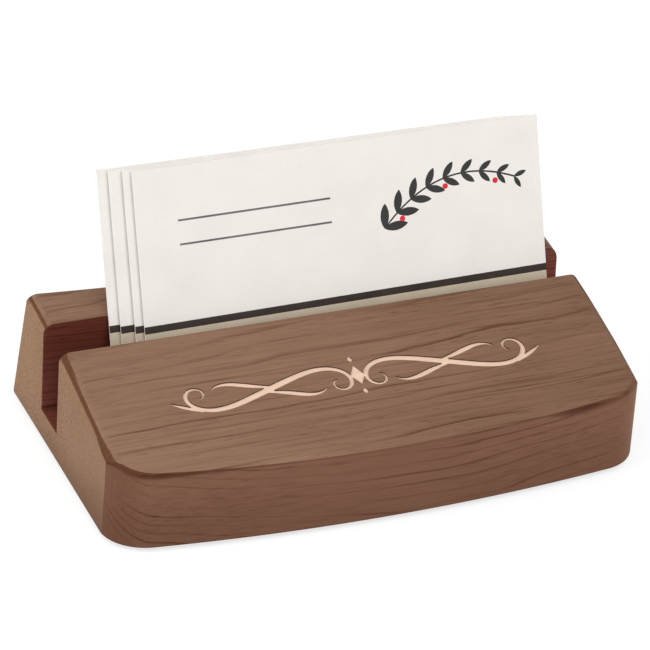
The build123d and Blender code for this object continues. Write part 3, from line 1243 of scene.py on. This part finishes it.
def padFuzz(tree, given, pad, body):
    # loose fibres stand out of the side
    isSide = abs(normalXyz(tree)[2]) < pad["sideFacing"]
    density = given["Fuzz Density"] / (mm * mm)
    feeds = {"Mesh": body, "Selection": isSide, "Density": density, "Seed": given["Seed"]}
    roots = put(tree, "GeometryNodeDistributePointsOnFaces", feeds)
    fibre = put(tree, "GeometryNodeMeshCone", {
        "Vertices": pad["fuzzSides"], "Depth": given["Fuzz Length"],
        "Radius Top": 0.0, "Radius Bottom": given["Fuzz Width"] * 0.5,
    })[0]
    bend = pad["fuzzBend"]
    feeds = {0: (-bend, -bend, 0), 1: (bend, bend, pad["fuzzSpin"]), "Seed": given["Seed"]}
    bent = put(tree, "FunctionNodeRandomValue", feeds, data_type="FLOAT_VECTOR")[0]
    feeds = {0: roots["Rotation"], 1: bent}
    turn = put(tree, "FunctionNodeRotateRotation", feeds, rotation_space="LOCAL")[0]
    return stamped(tree, roots["Points"], fibre, Rotation=turn)


def makePadTree(pad, felt):
    sizes = ("Radius", "Thickness", "Rim Round", "Unevenness", "Fuzz Length", "Fuzz Width", "Fuzz Density")
    inputs = {**dict.fromkeys(sizes, 0.0), "Seed": "Int", "Place": "Vector"}
    tree, given, result = newGroup("feltPad", "Geometry", inputs, ["Pad"])
    body = padBody(tree, given, pad)
    furry = realized(tree, joined(tree, body, padFuzz(tree, given, pad, body)))

    # Fibres are pressed flat between the wood and the desk
    x, y, z = positionXyz(tree)
    half = given["Thickness"] * 0.5
    between = larger(calc("MINIMUM", z, half), -half)
    pressed = reshaped(tree, furry, Position=vector(tree, x, y, between))
    feed(tree, result, {"Pad": painted(tree, moved(tree, pressed, given["Place"]), felt)})
    return tree


def stickPads():
    tree = makePadTree(feltPad, makeFelt(feltPad))
    names = [name for name in frame["nodes"] if name.startswith("foot_")]
    for number, name in enumerate(sorted(names)):
        low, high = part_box(name)
        mesh = growMesh(name + "_felt", tree, {
            "Radius": (high.x - low.x) / 2, "Thickness": high.z - low.z,
            "Rim Round": feltPad["rimRound"] * mm, "Unevenness": feltPad["unevenness"] * mm,
            "Fuzz Length": feltPad["fuzzLength"] * mm, "Fuzz Width": feltPad["fuzzWidth"] * mm,
            "Fuzz Density": feltPad["fuzzDensity"],
            "Seed": feltPad["seed"] + number, "Place": (low + high) / 2,
        })
        pad = newObject(name + "_felt", mesh)
        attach(pad, "holder")
        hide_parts(name)
    return names


print("pads made:", ", ".join(stickPads()))


# Camera

cameraFit = {   # in mm, degrees and pixels
    "yaw": 22.386, "pitch": 29.904, "roll": 2.684,
    "distance": 880.66, "offX": -0.66, "offY": 21.879, "deskRise": 1.0,
    "focalPixels": 4271.5, "framePixels": 650.0, "sensor": 36.0,
}


def placeCamera(fit):
    yaw, pitch, roll = (math.radians(fit[key]) for key in ("yaw", "pitch", "roll"))
    back = Vector((-math.sin(yaw) * math.cos(pitch), -math.cos(yaw) * math.cos(pitch), math.sin(pitch)))
    level = Vector((math.cos(yaw), -math.sin(yaw), 0))
    right = Matrix.Rotation(roll, 3, back) @ level
    up = back.cross(right)
    place = Matrix((right, up, back)).transposed().to_4x4()
    middle = back * fit["distance"] + right * fit["offX"] + up * fit["offY"]
    place.translation = (middle + Vector((0, 0, fit["deskRise"]))) * mm
    data = bpy.data.cameras.new("photoCamera")
    data.sensor_width = fit["sensor"]
    data.lens = fit["sensor"] * fit["focalPixels"] / fit["framePixels"]
    camera = newObject("photoCamera", data)
    camera.matrix_world = place
    scene.camera = camera


placeCamera(cameraFit)


# Pale floor, white surroundings and soft studio lamps

studio = {
    "floorSize": 4.0, "floorLevel": -0.00005, "floorTone": 0.4, "floorGlow": 0.68, "floorRoughness": 0.9,
    "ambient": 0.5,
    # place in metres, size, power
    "lamps": {
        "key": ((0.08, -0.62, 0.58), 0.9, 4.75),
        "overhead": ((-0.40, 0.05, 0.50), 0.4, 0.9),
        "leftFill": ((-0.95, 0.05, 0.35), 0.6, 3.8),
    },
}


def seenDirectly(tree):
    # 1 for rays from the camera, and for what gloss and glass show
    rays = named(tree, put(tree, "ShaderNodeLightPath"))
    return larger(larger(rays["Is Camera Ray"], rays["Is Glossy Ray"]), rays["Is Transmission Ray"])


def makeFloor(plan):
    half = plan["floorSize"] / 2
    corners = ((-half, -half), (half, -half), (half, half), (-half, half))
    mesh = bpy.data.meshes.new("floor")
    mesh.from_pydata([(x, y, plan["floorLevel"]) for x, y in corners], [], [(0, 1, 2, 3)])
    material, tree, shader = newMaterial("paleFloor")
    tone = plan["floorTone"]
    feed(tree, shader, {
        "Base Color": (tone, tone, tone, 1), "Roughness": plan["floorRoughness"], "Specular IOR Level": 0.0,
        "Emission Color": (1, 1, 1, 1), "Emission Strength": seenDirectly(tree) * plan["floorGlow"],
    })
    mesh.materials.append(material)
    floor = newObject("floor", mesh)


def makeWorld(plan):
    world = bpy.data.worlds.new("studio")
    scene.world = world
    world.use_nodes = True
    tree = world.node_tree
    strength = seenDirectly(tree).ramp(0.0, 1.0, plan["ambient"], 1.0)
    feed(tree, tree.nodes["Background"].inputs, {"Color": (1, 1, 1, 1), "Strength": strength})


def hangLamps(plan):
    for name, (place, size, power) in plan["lamps"].items():
        light = bpy.data.lights.new(name, "AREA")
        light.size = size
        light.energy = power
        lamp = newObject(name, light)
        lamp.location = place
        lamp.rotation_euler = Vector(place).to_track_quat("Z", "Y").to_euler()


makeFloor(studio)
makeWorld(studio)
hangLamps(studio)
print("camera and studio set")

scene.view_settings.view_transform = "Standard"
